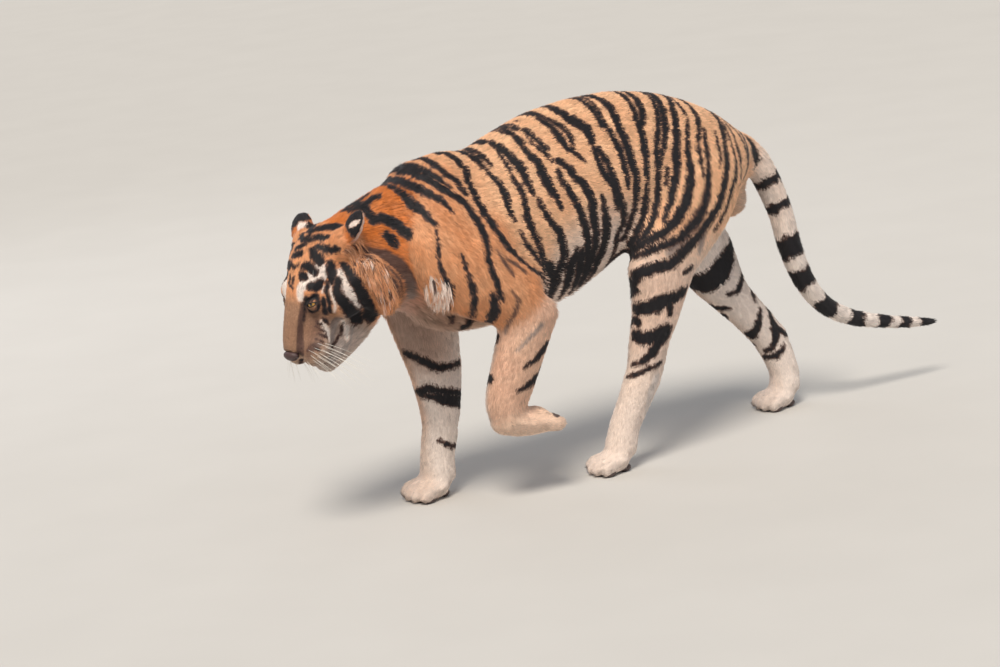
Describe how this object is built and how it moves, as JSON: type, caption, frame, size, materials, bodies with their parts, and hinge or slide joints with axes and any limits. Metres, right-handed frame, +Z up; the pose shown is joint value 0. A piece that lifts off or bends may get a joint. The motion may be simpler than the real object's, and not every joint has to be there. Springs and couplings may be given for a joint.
{
  "type": "tiger",
  "caption": "Life-size striped tiger in a slow walk, head lowered, back arched and one fore paw lifted, as a still museum model.",
  "frame": {"origin": "on the floor below the middle of the whole animal's box", "axes": "+Z up, the animal faces -Y, its left side is +X, and its length from nose to tail tip runs along Y"},
  "size_m": [0.4048, 1.9026, 0.9141],
  "materials": {
    "coat": "short dense fur, orange over the back and outer legs and white below, with narrow near-black stripes",
    "bare_skin": "pinkish brown bare skin of the nose and the paw pads, finely pebbled",
    "eye": "amber iris with a round black pupil under a wet clear cornea"
  },
  "bodies": {
    "root": {"eye_left": "eye", "eye_right": "eye", "nose": "bare_skin", "trunk": "coat", "neck": "coat", "head": "coat", "lower_jaw": "coat", "ear_left": "coat", "ear_right": "coat", "upper_arm_left": "coat", "upper_arm_right": "coat", "forearm_left": "coat", "forearm_right": "coat", "fore_paw_left": "coat", "fore_paw_right": "coat", "thigh_left": "coat", "thigh_right": "coat", "shank_left": "coat", "shank_right": "coat", "hind_paw_left": "coat", "hind_paw_right": "coat", "tail_root": "coat", "tail_middle": "coat", "tail_tip": "coat"}
  },
  "joints": []
}
